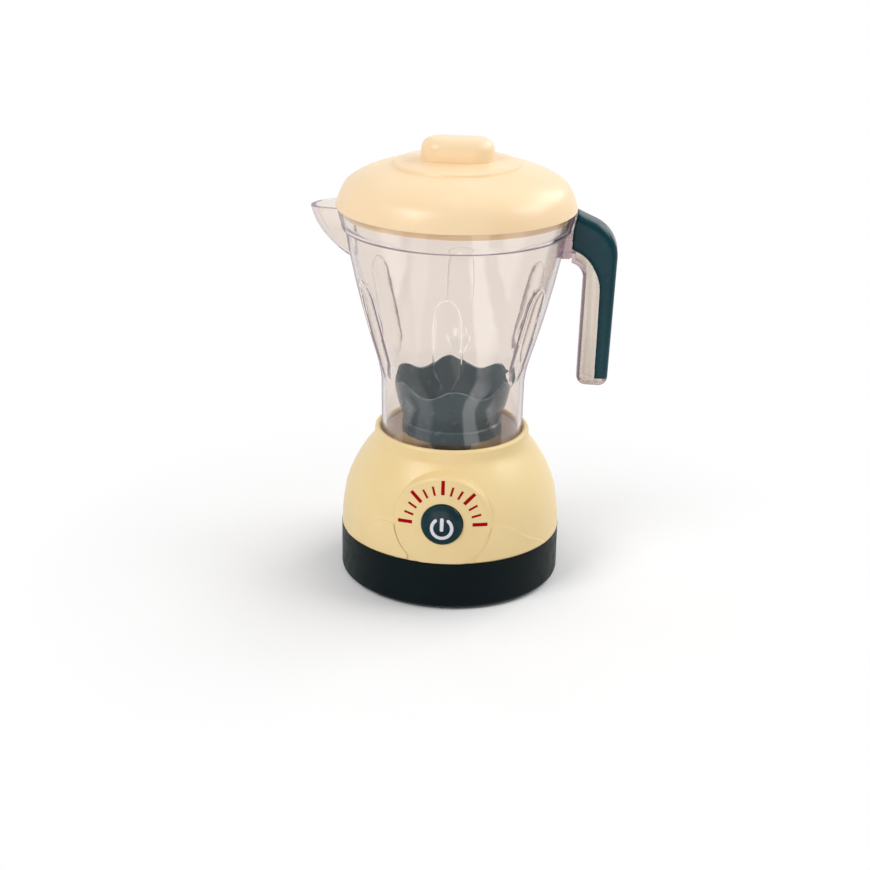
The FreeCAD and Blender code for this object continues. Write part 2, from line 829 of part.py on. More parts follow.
def tooth_outline(teeth, turned):
    """Corners of a spur gear with 20 degree involute flanks and a little backlash."""
    pressure = math.radians(20)
    pitch = tooth_module.value * teeth / 2
    ground = pitch * math.cos(pressure)
    tip = pitch + 0.9 * tooth_module.value
    foot = pitch - 1.25 * tooth_module.value
    half_tooth = math.pi / (2 * teeth) - 0.15 / (2 * pitch) + math.tan(pressure) - pressure

    def half_width(radius):
        roll = math.acos(min(ground / radius, 1))
        return half_tooth - (math.tan(roll) - roll)

    flank = [max(ground, foot), (max(ground, foot) + tip) / 2, tip]
    side = [(radius, half_width(radius)) for radius in flank]
    if foot < ground:
        side.insert(0, (foot, half_width(ground)))
    corners = []
    for i in range(teeth):
        middle = math.radians(turned) + 2 * math.pi * i / teeth
        for radius, half in side:
            corners.append(V(radius * math.cos(middle - half), radius * math.sin(middle - half), 0))
        for radius, half in reversed(side):
            corners.append(V(radius * math.cos(middle + half), radius * math.sin(middle + half), 0))
    return corners


def gear(label, teeth, turned, height, x, y, z):
    """A toothed disc; turned is the heading of one tooth in degrees."""
    thing = doc.addObject("Part::Feature", label)
    corners = tooth_outline(teeth, turned)
    face = Part.Face(Part.makePolygon(corners + corners[:1]))
    thing.Shape = face.extrude(V(0, 0, size(height).value))
    return place(thing, x, y, z)


gear_face = dimension("gear_face", 4.5)
idler_wheel_z = plate_top + 2.5
pinion_bottom = idler_wheel_z + gear_face
output_wheel_z = pinion_bottom + 2
pinion_top = idler_boss_bottom - part_gap
bearing_top = plate_top + 3.5
shaft_bottom = plate_bottom - part_gap

output_gear = keep(cut(
    "output_gear",
    fuse(
        "output_gear_blank",
        gear("output_wheel", output_teeth, 0, gear_face, 0, 0, output_wheel_z),
        cylinder("output_hub", shaft_radius + 2.5, output_boss_bottom - part_gap - bearing_top - part_gap,
                 0, 0, bearing_top + part_gap),
    ),
    cylinder("output_gear_bore", shaft_radius, well_floor - bearing_top, 0, 0, bearing_top),
))
idler_gear = keep(cut(
    "idler_gear",
    fuse(
        "idler_blank",
        gear("idler_wheel", idler_wheel_teeth, motor_mesh_angle.value, gear_face, idler_x, 0, idler_wheel_z),
        gear("idler_pinion", idler_pinion_teeth, 180 / idler_pinion_teeth, pinion_top - pinion_bottom,
             idler_x, 0, pinion_bottom),
        cylinder("idler_hub", axle_radius + 2, idler_wheel_z - plate_top - part_gap,
                 idler_x, 0, plate_top + part_gap),
    ),
    cylinder("idler_bore", axle_radius + run_gap, well_floor - plate_top, idler_x, 0, plate_top),
))
keep(cylinder("idler_axle", axle_radius, idler_boss_bottom + 2.2 - plate_bottom, idler_x, 0, plate_bottom))

motor_pinion = keep(cut(
    "motor_pinion",
    gear("motor_pinion_blank", motor_teeth, 180 + motor_mesh_angle.value + 180 / motor_teeth,
         gear_face + 2, motor_x, motor_y, plate_top + 1.5),
    cylinder("motor_pinion_bore", axle_radius, gear_face + 2, motor_x, motor_y, plate_top + 1.5),
))
keep(cylinder("motor_shaft", axle_radius, gear_face + 2 + 6.3, motor_x, motor_y, plate_bottom - 2))

# Plate under the gears, hung from the housing by four screws

motor_screw_reach = dimension("motor_screw_reach", 6.5)


def motor_screw_spots():
    for side in (-1, 1):
        yield motor_x + motor_screw_reach * side, motor_y


def plate_parts():
    thick = plate_top - plate_bottom
    yield box("plate_slab", gear_post_x * 2 + 10, gear_post_y * 2 + 10, thick, 0, 0, plate_bottom)
    yield cylinder("plate_motor_disc", motor_radius + 3, thick, motor_x, motor_y, plate_bottom)
    yield cylinder("plate_idler_disc", 8, thick, idler_x, 0, plate_bottom)
    yield cylinder("motor_collar", motor_radius + 2.3, 6, motor_x, motor_y, plate_bottom - 6)
    yield cylinder("output_bearing", shaft_radius + 2.5, bearing_top - shaft_bottom + 1.5,
                   0, 0, shaft_bottom - 1.5)


def plate_holes():
    thick = plate_top - plate_bottom
    yield cylinder("motor_room", motor_radius + part_gap, 6, motor_x, motor_y, plate_bottom - 6)
    yield cylinder("motor_nose_way", 3 + seat_gap, thick, motor_x, motor_y, plate_bottom)
    yield cylinder("bearing_bore", shaft_radius + run_gap, bearing_top - shaft_bottom, 0, 0, shaft_bottom)
    yield cylinder("axle_way", axle_radius, thick, idler_x, 0, plate_bottom)
    for i, (x, y) in enumerate(gear_post_spots()):
        yield cylinder(f"plate_screw_way_{i}", axle_radius + 0.2, thick, x, y, plate_bottom)
    for i, (x, y) in enumerate(motor_screw_spots()):
        yield cylinder(f"motor_screw_way_{i}", axle_radius + 0.1, thick, x, y, plate_bottom)


gearbox_plate = keep(cut("gearbox_plate", fuse("plate_block", *plate_parts()), *plate_holes()))
keep(fuse("gearbox_screws", *(
    screw(f"gearbox_screw_{i}", 2.2, 1.3, axle_radius, 11, x, y, plate_bottom)
    for i, (x, y) in enumerate(gear_post_spots())
)))

# Motor: flat-sided can with a nose in the plate and an end cap

can_flats = motor_radius * 1.54


def motor_section(label, radius, flats, height, z):
    return common(
        label,
        cylinder(label + "_round", radius, height, motor_x, motor_y, z),
        box(label + "_flats", radius * 2 + 2, flats, height, motor_x, motor_y, z),
    )


can_bottom = plate_bottom - motor_length
motor_can = keep(cut(
    "motor_can",
    fuse("can_block", motor_section("can", motor_radius, can_flats, motor_length, can_bottom),
         cylinder("can_nose", 3, 2, motor_x, motor_y, plate_bottom)),
    cylinder("can_bore", axle_radius + run_gap, 5, motor_x, motor_y, plate_bottom - 2.5),
    *(cylinder(f"can_pilot_{i}", axle_radius, 3, x, y, plate_bottom - 3)
      for i, (x, y) in enumerate(motor_screw_spots())),
))
keep(motor_section("motor_end_cap", motor_radius - 0.4, can_flats - 0.6, size(2.5), can_bottom - 2.5))


def motor_screw_parts():
    for i, (x, y) in enumerate(motor_screw_spots()):
        yield cylinder(f"motor_screw_head_{i}", 1.6, 1.2, x, y, plate_top)
        yield cylinder(f"motor_screw_shank_{i}", axle_radius - seat_gap, 5, x, y, plate_top - 5)


keep(fuse("motor_screws", *motor_screw_parts()))

# Output shaft, its bush in the well floor and the star that drives the jug

star_bottom = well_floor + 0.4
star_height = dimension("star_height", 5.6)
star_top = star_bottom + star_height
fin_width = dimension("fin_width", 2.4)
hub_radius = coupler_radius - 2.5

keep(cylinder("output_shaft", shaft_radius, star_top - 1 - shaft_bottom, 0, 0, shaft_bottom))
keep(tube("output_bush", bush_radius, shaft_radius + run_gap, well_floor + 0.1 - output_boss_bottom,
          0, 0, output_boss_bottom))


def star(label, hub, reach, width, height, z):
    """A hub with three bars across it, which make six fins."""
    parts = [cylinder(label + "_hub", hub, height, 0, 0, z)]
    for i, angle in enumerate((0, 60, 120)):
        bar = box(f"{label}_bar_{i}", reach * 2, width, height, 0, 0, z)
        heading = math.radians(angle)
        bind(bar, "Placement.Base.x", -reach * math.cos(heading) + size(width) / 2 * math.sin(heading))
        bind(bar, "Placement.Base.y", -reach * math.sin(heading) - size(width) / 2 * math.cos(heading))
        if angle:
            turn(bar, V(0, 0, 1), angle)
        parts.append(bar)
    return parts


drive_coupler = keep(cut(
    "drive_coupler",
    fuse("star_block", *star("star", hub_radius, coupler_radius, fin_width, star_height, star_bottom)),
    cylinder("star_bore", shaft_radius, star_height - 1, 0, 0, star_bottom),
))

# Socket under the jug's floor that takes the star

socket_bottom = well_floor + 1
socket_roof = star_top + part_gap
socket_top = jar_floor - 2.5
rotor_shaft_radius = dimension("rotor_shaft_radius", 1.5)
socket_room = socket_roof - socket_bottom
driven_coupler = keep(cut(
    "driven_coupler",
    cylinder("socket_block", coupler_radius + 2.5, socket_top - socket_bottom, 0, 0, socket_bottom),
    *star("socket", hub_radius + 0.5, coupler_radius + 0.5, fin_width + 1, socket_room, socket_bottom),
    cylinder("socket_bore", rotor_shaft_radius, socket_top - socket_roof, 0, 0, socket_roof),
))


# Jug: clear beaker with six flutes, a foot ring that drops into the well, and a spout

jar_waist = jar_foot_radius + 0.5
waist_height = well_floor + 42
bulge_height = well_floor + 58
bulge_radius = jar_foot_radius + 3.9
band_height = rim - 11.8
band_radius = jar_rim_radius - 4.2
waist_bulge = dimension("waist_bulge", -0.47)
jar_bulge = dimension("jar_bulge", 1.14)


def jar_side(shrink):
    """Corners of the jug's side from the waist to the foot of the rim band."""
    waist = (jar_waist - shrink, waist_height)
    bulge = (bulge_radius - shrink, bulge_height)
    band = (band_radius - shrink, band_height)
    return bow(waist, bulge, waist_bulge, 3) + bow(bulge, band, jar_bulge, 5) + [band]


jar_side_outside = [(0, well_floor), (jar_foot_radius, well_floor)] + jar_side(size(0)) + [
    (jar_rim_radius - 2.7, band_height + 0.5),
    (jar_rim_radius, rim),
    (0, rim),
]
jar_side_inside = [(0, jar_inside), (jar_foot_radius - jar_wall, jar_inside)] + jar_side(jar_wall) + [
    (jar_rim_radius - 2.7 - jar_wall, band_height + 1.5),
    (jar_rim_radius - 2.3, rim),
    (0, rim),
]

flute_tilt = dimension("flute_tilt", 15.3)
flute_reach = bulge_radius + 16.55
flute_height = bulge_height + 8.9
flute_low = -11.3
flute_high = 19.8
flute_bend = dimension("flute_bend", 40)


def flute(body, label, grow):
    """Six hollows round the jug, each cut by a leaning cigar-shaped turning."""
    radius, bend = flute_radius + grow, flute_bend + grow
    tip = root(bend * bend - (bend - radius) * (bend - radius))

    def spot(along, inward):
        return (
            -flute_reach - along * sine(flute_tilt) + inward * cosine(flute_tilt),
            flute_height + along * cosine(flute_tilt) + inward * sine(flute_tilt),
        )

    low, high = size(flute_low), size(flute_high)
    corners = [
        (*spot(low - tip, size(0)), bend),
        spot(low, radius),
        (*spot(high, radius), bend),
        spot(high + tip, size(0)),
    ]
    axis = (spot(low - tip * 1.2, size(0)), spot(high + tip * 1.2, size(0)))
    profile = outline(body, label + "_profile", "YZ_Plane", corners, 0, axis)
    groove = body.newObject("PartDesign::Groove", label)
    groove.Profile = (profile, [""])
    groove.ReferenceAxis = (profile, ["Axis0"])
    groove.Angle = 360
    doc.recompute()
    pattern = body.newObject("PartDesign::PolarPattern", label + "_ring")
    pattern.Originals = [groove]
    turned = [f for f in body.Group if f.TypeId == "PartDesign::Revolution"][0]
    pattern.Axis = (turned.Profile[0], ["V_Axis"])
    pattern.Angle = 360
    pattern.Occurrences = 6
    body.Tip = pattern
    return body


jar_outside = flute(revolve("jar_outside", jar_side_outside), "jar_flute", size(0))
jar_room = flute(revolve("jar_room", jar_side_inside), "jar_room_flute", jar_wall)

# Spout: a loft through rounded V sections at four levels, each given by its drop below
# the rim, how far its nose lies behind the lip, and its share of the lip's width

spout_nose = dimension("spout_nose", 11)
spout_taper = dimension("spout_taper", 24)
spout_levels = (
    (30.1, 22.3, 0.16),
    (20.8, 10.7, 0.5),
    (11, 3.5, 0.75),
    (0, 0, 1),
)


def spout(label, inset, lift):
    """The spout's outside, or the room in it, set in by inset."""
    body = doc.addObject("PartDesign::Body", label)
    back = well_radius + 8
    sections = []
    for i, (drop, set_back, share) in enumerate(spout_levels):
        nose = (spout_nose - inset) * share
        tip = spout_reach - set_back - inset * 1.25
        touch_x = tip - nose * (1 - sine(spout_taper))
        touch_y = nose * cosine(spout_taper)
        spread = touch_y + (touch_x - back) * sine(spout_taper) / cosine(spout_taper)
        corners = [
            (-back, -spread),
            (-back, spread),
            (-touch_x, touch_y, nose),
            (-touch_x, -touch_y),
        ]
        level = rim - drop + (lift if drop == 0 else lift * 0.5)
        sections.append(outline(body, f"{label}_level_{i}", "XY_Plane", corners, level))
    solid = body.newObject("PartDesign::AdditiveLoft", label + "_loft")
    solid.Profile = (sections[0], [""])
    solid.Sections = [(section, [""]) for section in sections[1:]]
    return body


lip_fall = side_slab("lip_fall", [
    (-(jar_rim_radius - 6.6), rim - 0.8),
    (-(spout_reach + 3), rim - 2.5),
    (-(spout_reach + 3), rim + 3),
    (-(jar_rim_radius - 6.6), rim + 3),
], spout_nose * 6)
spout_outside = cut("spout_outside", spout("spout_block", size(0), size(0)), lip_fall)
spout_room = spout("spout_room", jar_wall, size(1))

jar_boss_bottom = jar_floor - 2
jar_boss_top = jar_inside + 3
jar_bush_radius = rotor_shaft_radius + 2


def jar_cuts():
    yield jar_room
    yield spout_room
    yield cylinder("jar_foot_room", jar_foot_radius - jar_wall, jar_floor - well_floor, 0, 0, well_floor)
    for i, angle in enumerate((90, 210, 330)):
        yield key_block(f"jar_notch_{i}", angle, 4, 4.5)


jar_shell = cut("jar_shell", fuse("jar_block", jar_outside, spout_outside), *jar_cuts())
jar = keep(cut(
    "jar",
    fuse("jar_with_boss", jar_shell,
         cylinder("jar_boss", jar_bush_radius + 2.5, jar_boss_top - jar_boss_bottom, 0, 0, jar_boss_bottom)),
    cylinder("jar_bore", jar_bush_radius, jar_boss_top - jar_boss_bottom, 0, 0, jar_boss_bottom),
))
keep(tube("jar_bush", jar_bush_radius - seat_gap, rotor_shaft_radius + run_gap,
          jar_boss_top - jar_boss_bottom + 0.4, 0, 0, jar_boss_bottom))


# Handle: hollow grip in two halves, a clear frame on the jug and a dark cover outside

grip = handle_reach


def handle_side(inset):
    """Corners of the grip's side, set in by the wall for the room inside it."""
    return [
        (50, rim - 1 - inset),
        (grip - 22, rim - 0.8 - inset),
        (grip + 0.2 - inset, rim - 10.8 - inset),
        (grip - 2.3 - inset, rim - 94.1 + inset),
        (grip - 18.8 + inset, rim - 93.7 + inset),
        (grip - 17.6 + inset, rim - 29.3 + inset),
        (grip - 24 + inset, rim - 27.3 + inset),
        (grip - 24 + inset, rim - 23.8 + inset),
        (50, rim - 23.8 + inset),
    ]


handle_border = [
    (grip - 21.1, rim + 3),
    (grip - 23.7, rim - 9),
    (grip - 24.2, rim - 19),
    (grip - 22.7, rim - 20, -19),
    (grip - 12, rim - 29.8, -24),
    (grip - 8.7, rim - 41),
    (grip - 8.9, rim - 66),
    (grip - 9.3, rim - 89.3),
    (grip + 6, rim - 89.3),
    (grip + 6, rim + 3),
]


def handle_body(label, inset, width):
    """The grip's side padded to its width, with its corners rounded."""
    body = side_slab(label, handle_side(inset), width)
    corners = handle_side(inset)
    for name, index, radius in (("top", 2, 20 - inset), ("low_outer", 3, 5 - inset),
                                ("low_inner", 4, 5 - inset), ("crook", 5, size(8))):
        spot = corners[index]
        round_edges(body, f"{label}_{name}", radius, lambda edge: is_upright_at(edge, spot))
    return body


def is_upright_at(edge, spot):
    """Whether an edge runs along Y through the corner (x, z)."""
    low, high = (edge.valueAt(end) for end in (edge.FirstParameter, edge.LastParameter))
    return all(
        abs(end.x - size(spot[0]).value) < 0.01 and abs(end.z - size(spot[1]).value) < 0.01
        for end in (low, high)
    )


def is_outer_edge(edge):
    """Whether an edge of the grip follows its straight outer side."""
    low, high = (edge.valueAt(end) for end in (edge.FirstParameter, edge.LastParameter))
    return abs(low.y - high.y) < 0.01 and min(low.x, high.x) > grip.value - 4


handle_round = dimension("handle_round", 3.5)
handle_block = handle_body("handle_block", size(0), handle_width)
round_edges(handle_block, "handle_rounding", handle_round, is_outer_edge)
handle_room = handle_body("handle_room", size(2), handle_width - 4)
handle_shell = cut("handle_shell", handle_block, handle_room)
jar_clearance = revolve("jar_clearance", [(0, well_floor), (jar_foot_radius + seat_gap, well_floor)]
                        + jar_side(-seat_gap) + [
    (jar_rim_radius - 2.7 + seat_gap, band_height + 0.5),
    (jar_rim_radius + seat_gap, rim),
    (0, rim),
])
handle_plate = side_slab("handle_plate", [
    (50, rim - 23.8), (grip - 24.8, rim - 23.8), (grip - 24, rim - 14), (50, rim - 14),
], handle_width + 5)
cover_zone = side_slab("cover_zone", handle_border, handle_width + 4)
cover_zone_set_off = place(side_slab("cover_zone_set_off", handle_border, handle_width + 4), 0.12, 0, 0)
handle_frame = keep(cut("handle_frame", fuse("handle_frame_block", handle_shell, handle_plate),
                        cover_zone, jar_clearance))
handle_cover = keep(cut("handle_cover", common("cover_half", handle_shell, cover_zone_set_off), jar_clearance))


# Rotor: fluted-rim cup on a spindle, driven through the jug's floor

cup_bottom = jar_inside + part_gap
cup_floor = cup_bottom + 4.2
cup_wall = dimension("cup_wall", 2.2)
cup_rim = cup_bottom + cup_height
scallop_depth = dimension("scallop_depth", 2.85)
scallop_turn = dimension("scallop_turn", 7)
cup_bulge = dimension("cup_bulge", 0.8)
hub_top = cup_bottom + 14.2
cup_hub = dimension("cup_hub", 5)

cup_blank = revolve("cup_blank", [
    (rotor_shaft_radius, cup_floor),
    (cup_foot_radius - cup_wall, cup_floor),
    (cup_foot_radius - cup_wall, cup_bottom),
    (cup_foot_radius, cup_bottom),
    (cup_foot_radius, cup_bottom + 5.7),
    *bow((cup_foot_radius - 0.9, cup_bottom + 6.6), (cup_rim_radius, cup_rim), cup_bulge, 4),
    (cup_rim_radius, cup_rim),
    *bow((cup_rim_radius - cup_wall + 0.4, cup_rim), (cup_foot_radius - 0.9 - cup_wall, cup_floor + 4),
         cup_bulge, 4),
    (cup_foot_radius - 0.9 - cup_wall, cup_floor + 4),
    (cup_foot_radius - 6, cup_floor + 2),
    (cup_hub, cup_floor + 2),
    (cup_hub, hub_top),
    (rotor_shaft_radius, hub_top),
])


def wave(radius, level, depth):
    """A closed curve that rises and falls six times round the Z axis."""
    points = []
    for i in range(48):
        heading = 2 * math.pi * i / 48
        crest = math.radians(scallop_turn.value - 90)
        points.append(V(radius * math.cos(heading), radius * math.sin(heading),
                        level + depth * math.cos(6 * (heading - crest))))
    curve = Part.BSplineCurve()
    curve.interpolate(Points=points, PeriodicFlag=True)
    return Part.Wire([curve.toShape()])


def wave_cutter():
    """A ring whose lower face is the wavy line of the cup's rim."""
    level = cup_rim.value - scallop_depth.value
    inner, outer = cup_rim_radius.value - 8, cup_rim_radius.value + 4
    lower = [wave(radius, level, scallop_depth.value) for radius in (inner, outer)]
    upper = [wave(radius, cup_rim.value + 6, 0) for radius in (inner, outer)]
    sides = [Part.makeRuledSurface(lower[0], lower[1]), Part.makeRuledSurface(upper[0], upper[1])]
    sides += [Part.makeRuledSurface(low, high) for low, high in zip(lower, upper)]
    shell = Part.Shell([face for side in sides for face in side.Faces])
    return Part.Solid(shell)


rim_cutter = doc.addObject("Part::Feature", "rim_cutter")
rim_cutter.Shape = wave_cutter()
keep(cut("rotor_cup", cup_blank, rim_cutter))
keep(cylinder("rotor_shaft", rotor_shaft_radius, hub_top - 0.3 - socket_roof, 0, 0, socket_roof))
keep(revolve("rotor_cap", [
    (0, hub_top), (cup_hub - 1, hub_top), (cup_hub - 1, hub_top + 1), (cup_hub - 2.2, hub_top + 2.8),
    (0, hub_top + 2.8),
]))


# Lid: shallow dome with a raised middle, a plug that fits the rim, and a knob

lid_edge = jar_rim_radius + 0.5
lid_wall = dimension("lid_wall", 2)
plateau = rim + lid_height
dome_top = plateau - 2.5
plateau_radius = lid_edge - 30
plug_depth = dimension("plug_depth", 3.5)
knob_screw_way = screw_radius + part_gap

lid = keep(revolve("lid", [
    (knob_screw_way, plateau - lid_wall),
    (plateau_radius - 10, plateau - lid_wall),
    (plateau_radius - 3, dome_top + 1.8 - lid_wall),
    (plateau_radius - 1.5, dome_top - lid_wall),
    (lid_edge - 20.4, dome_top - 2.3 - lid_wall),
    (lid_edge - 8.6, dome_top - 7.8 - lid_wall),
    (lid_edge - 4.6, dome_top - 13.8 - lid_wall),
    (lid_edge - 5.3, rim),
    (lid_edge - 5.9, rim - plug_depth),
    (lid_edge - 4, rim - plug_depth),
    (lid_edge - 3.3, rim),
    (lid_edge, rim),
    (lid_edge - 1, rim + 3.5),
    (lid_edge - 2.8, rim + 8),
    (lid_edge - 4.7, rim + 11.2),
    (lid_edge - 7.5, rim + 13.6),
    (lid_edge - 13, dome_top - 4.9),
    (lid_edge - 19.8, dome_top - 2.3),
    (plateau_radius, dome_top),
    (plateau_radius - 0.5, dome_top + 1.2),
    (plateau_radius - 2.2, dome_top + 1.9),
    (plateau_radius - 12, plateau),
    (knob_screw_way, plateau),
]))

knob_end = knob_width / 2
knob_straight = (knob_length - knob_width) / 2


def stadium(end, straight):
    return [
        (straight, -end, end), (straight + end, 0, end), (straight, end),
        (-straight, end, end), (-straight - end, 0, end), (-straight, -end),
    ]


knob_round = dimension("knob_round", 6)
knob_block = slab("knob_block", stadium(knob_end, knob_straight), plateau, knob_height)
round_edges(knob_block, "knob_rounding", knob_round,
            lambda edge: edge.BoundBox.ZMin > (plateau + knob_height).value - 0.01)
knob_room = slab("knob_room", stadium(knob_end - 3, knob_straight), plateau, knob_height - 5)
knob_shell = cut("knob_shell", knob_block, knob_room)
lid_knob = keep(cut(
    "lid_knob",
    fuse("knob_with_boss", knob_shell, cylinder("knob_boss", post_radius, knob_height - 4, 0, 0, plateau)),
    cylinder("knob_pilot", screw_radius + seat_gap, knob_height - 4.5, 0, 0, plateau),
))
keep(screw("knob_screw", screw_head, 1.6, screw_radius, lid_wall + 6, 0, 0, plateau - lid_wall))


# Check every piece and write one file for each

doc.recompute()
for thing in doc.Objects:
    if "Invalid" in thing.State or "Error" in thing.State:
        raise RuntimeError(f"{thing.Label}: {thing.State}")
os.makedirs("parts", exist_ok=True)
for piece in pieces:
    shape = piece.Shape
    if shape.isNull() or not shape.isValid():
        raise RuntimeError(f"{piece.Label} has no valid shape")
    shape.exportStep(f"parts/{piece.Label}.step")
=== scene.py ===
import json
import math

import bmesh
import bpy
from mathutils import Matrix, Vector
from mathutils.bvhtree import BVHTree


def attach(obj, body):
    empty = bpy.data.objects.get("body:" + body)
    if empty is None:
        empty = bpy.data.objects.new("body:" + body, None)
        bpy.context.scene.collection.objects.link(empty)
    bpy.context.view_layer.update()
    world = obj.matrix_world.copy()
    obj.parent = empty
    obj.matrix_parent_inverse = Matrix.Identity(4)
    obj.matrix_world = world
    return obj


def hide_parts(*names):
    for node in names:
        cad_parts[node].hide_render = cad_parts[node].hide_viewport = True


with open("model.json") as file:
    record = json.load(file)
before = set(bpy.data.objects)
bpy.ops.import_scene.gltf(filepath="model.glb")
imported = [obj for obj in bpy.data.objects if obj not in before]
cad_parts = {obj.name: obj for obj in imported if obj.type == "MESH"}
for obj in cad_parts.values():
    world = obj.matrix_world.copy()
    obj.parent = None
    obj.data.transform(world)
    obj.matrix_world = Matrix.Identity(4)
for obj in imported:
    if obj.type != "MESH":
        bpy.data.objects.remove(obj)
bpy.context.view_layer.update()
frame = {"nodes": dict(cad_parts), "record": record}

# Sizes are written in millimetres and angles in degrees; the floor, sky, lamps and camera use metres
MM = 0.001

nodes = frame["nodes"]
bodies = frame["record"]["behaviour"]["bodies"]
scene = bpy.context.scene


# Colours

def srgb(red, green, blue):
    """An 8-bit screen colour as the linear colour that a shader takes."""
    def linear(level):
        level /= 255
        return level / 12.92 if level <= 0.04045 else ((level + 0.055) / 1.055) ** 2.4
    return (linear(red), linear(green), linear(blue), 1)


def grey(level):
    return (level, level, level, 1)


# Material building blocks

class NodeTree:
    """A node tree that is put together one socket at a time."""

    def __init__(self, tree):
        self.tree = tree

    def node(self, kind, **values):
        made = self.tree.nodes.new(kind)
        for name, value in values.items():
            setattr(made, name, value)
        return made

    def link(self, source, target):
        self.tree.links.new(source, target)

    def compute(self, operation, first, second):
        """One step of arithmetic on two values, of which the second may be a plain number."""
        made = self.node("ShaderNodeMath", operation=operation)
        self.link(first, made.inputs[0])
        if isinstance(second, (int, float)):
            made.inputs[1].default_value = second
        else:
            self.link(second, made.inputs[1])
        return made.outputs[0]

    def spread(self, value, low, high, start=0.35, end=0.65):
        """The span start to end, by default the one that noise usually fills, stretched to low to high."""
        spread = self.node("ShaderNodeMapRange")
        self.link(value, spread.inputs["Value"])
        for name, number in (("From Min", start), ("From Max", end), ("To Min", low), ("To Max", high)):
            spread.inputs[name].default_value = number
        return spread.outputs["Result"]

    def mix(self, factor, first, second):
        """Two colours mixed, each of them a socket or a fixed colour."""
        mixed = self.node("ShaderNodeMix", data_type="RGBA")
        self.link(factor, mixed.inputs["Factor"])
        for socket, colour in (("A", first), ("B", second)):
            target = [one for one in mixed.inputs if one.name == socket and one.type == "RGBA"][0]
            if isinstance(colour, tuple):
                target.default_value = colour
            else:
                self.link(colour, target)
        return [one for one in mixed.outputs if one.type == "RGBA"][0]

    def blend(self, factor, first, second):
        """Two shaders mixed; at a factor of 1 only the second one shows."""
        mixed = self.node("ShaderNodeMixShader")
        for source, socket in ((factor, 0), (first, 1), (second, 2)):
            self.link(source, mixed.inputs[socket])
        return mixed.outputs[0]

    def seen_by(self, *kinds):
        """1 where a ray is of one of these kinds, else 0."""
        rays = self.node("ShaderNodeLightPath")
        total = rays.outputs[kinds[0]]
        for kind in kinds[1:]:
            total = self.compute("MAXIMUM", total, rays.outputs[kind])
        return total


class Shader(NodeTree):
    """A Principled material that varies with the place on the object."""

    def __init__(self, name):
        self.material = bpy.data.materials.new(name)
        self.material.use_nodes = True
        super().__init__(self.material.node_tree)
        self.surface = self.tree.nodes["Principled BSDF"]
        self.output = self.tree.nodes["Material Output"]
        self.where = self.node("ShaderNodeTexCoord").outputs["Object"]

    def set(self, **values):
        for name, value in values.items():
            self.surface.inputs[name.replace("_", " ")].default_value = value

    def noise(self, size, detail=2, stretch=(1, 1, 1)):
        """Noise whose features are about size wide."""
        mapping = self.node("ShaderNodeMapping")
        mapping.inputs["Scale"].default_value = stretch
        self.link(self.where, mapping.inputs["Vector"])
        texture = self.node("ShaderNodeTexNoise")
        texture.inputs["Scale"].default_value = 1 / (size * MM)
        texture.inputs["Detail"].default_value = detail
        self.link(mapping.outputs["Vector"], texture.inputs["Vector"])
        return texture.outputs["Fac"]

    def colour(self, source):
        self.link(source, self.surface.inputs["Base Color"])

    def rough(self, source):
        self.link(source, self.surface.inputs["Roughness"])

    def bumps(self, *layers, edge):
        """Bump layers (height source, depth), on edges eased by a radius where it isn't 0."""
        normal = None
        if edge:
            bevel = self.node("ShaderNodeBevel", samples=8)
            bevel.inputs["Radius"].default_value = edge * MM
            normal = bevel.outputs["Normal"]
        for height, depth in layers:
            bump = self.node("ShaderNodeBump")
            bump.inputs["Strength"].default_value = 1
            bump.inputs["Distance"].default_value = depth * MM
            self.link(height, bump.inputs["Height"])
            if normal:
                self.link(normal, bump.inputs["Normal"])
            normal = bump.outputs["Normal"]
        self.link(normal, self.surface.inputs["Normal"])


def moulded(name, base, tone, rough, edge=0.4, grain=0.0192, **values):
    """Moulded plastic: slight colour drift, flow marks, scuffs, and orange peel as deep as grain."""
    made = Shader(name)
    made.set(**values)
    drift = made.spread(made.noise(size=38, detail=3), low=0, high=1)
    flow = made.spread(made.noise(size=9, stretch=(1, 1, 0.35)), low=0, high=0.35)
    made.colour(made.mix(flow, made.mix(drift, base, tone), tone))
    made.rough(made.spread(made.noise(size=5, detail=4), low=rough - 0.05, high=rough + 0.06))
    made.bumps((made.noise(size=2.6), grain), edge=edge)
    return made.material


def metal(name, base, tone, rough, edge=0.15):
    """Drawn or turned metal with fine scratches along one way and slight tarnish."""
    made = Shader(name)
    made.set(Metallic=1.0)
    made.colour(made.mix(made.spread(made.noise(size=4, detail=3), low=0, high=1), base, tone))
    scuffs = made.noise(size=1.2, detail=4, stretch=(1, 1, 0.15))
    made.rough(made.spread(scuffs, low=rough - 0.08, high=rough + 0.1))
    made.bumps((made.noise(size=0.35, detail=3, stretch=(1, 1, 0.12)), 0.004), edge=edge)
    return made.material


# Clear walls: what they swallow, the painted shade of walls seen edge-on, and the painted glow that stands
# in for light that no longer comes through
WALL_MAUVE = (0.4, 0.1, 0.25, 1)
WALL_DENSITY = 40
# Painted shade: the tint of the see-through layer on walls seen edge-on
EDGE_ON_SHADE = (0.5, 0.43, 0.46, 1)
EDGE_SHADE_MOST = 0.7
EDGE_SHADE_START, EDGE_SHADE_FULL = 0.77, 0.98      # 0 is a wall seen square on, 1 is one seen edge-on
# Painted glow: the emission that ends rays caught in the walls
CAUGHT_LIGHT = (0.38, 0.335, 0.355, 1)
CAUGHT_AFTER = 1.5                      # reflections that a ray may make before it counts as caught


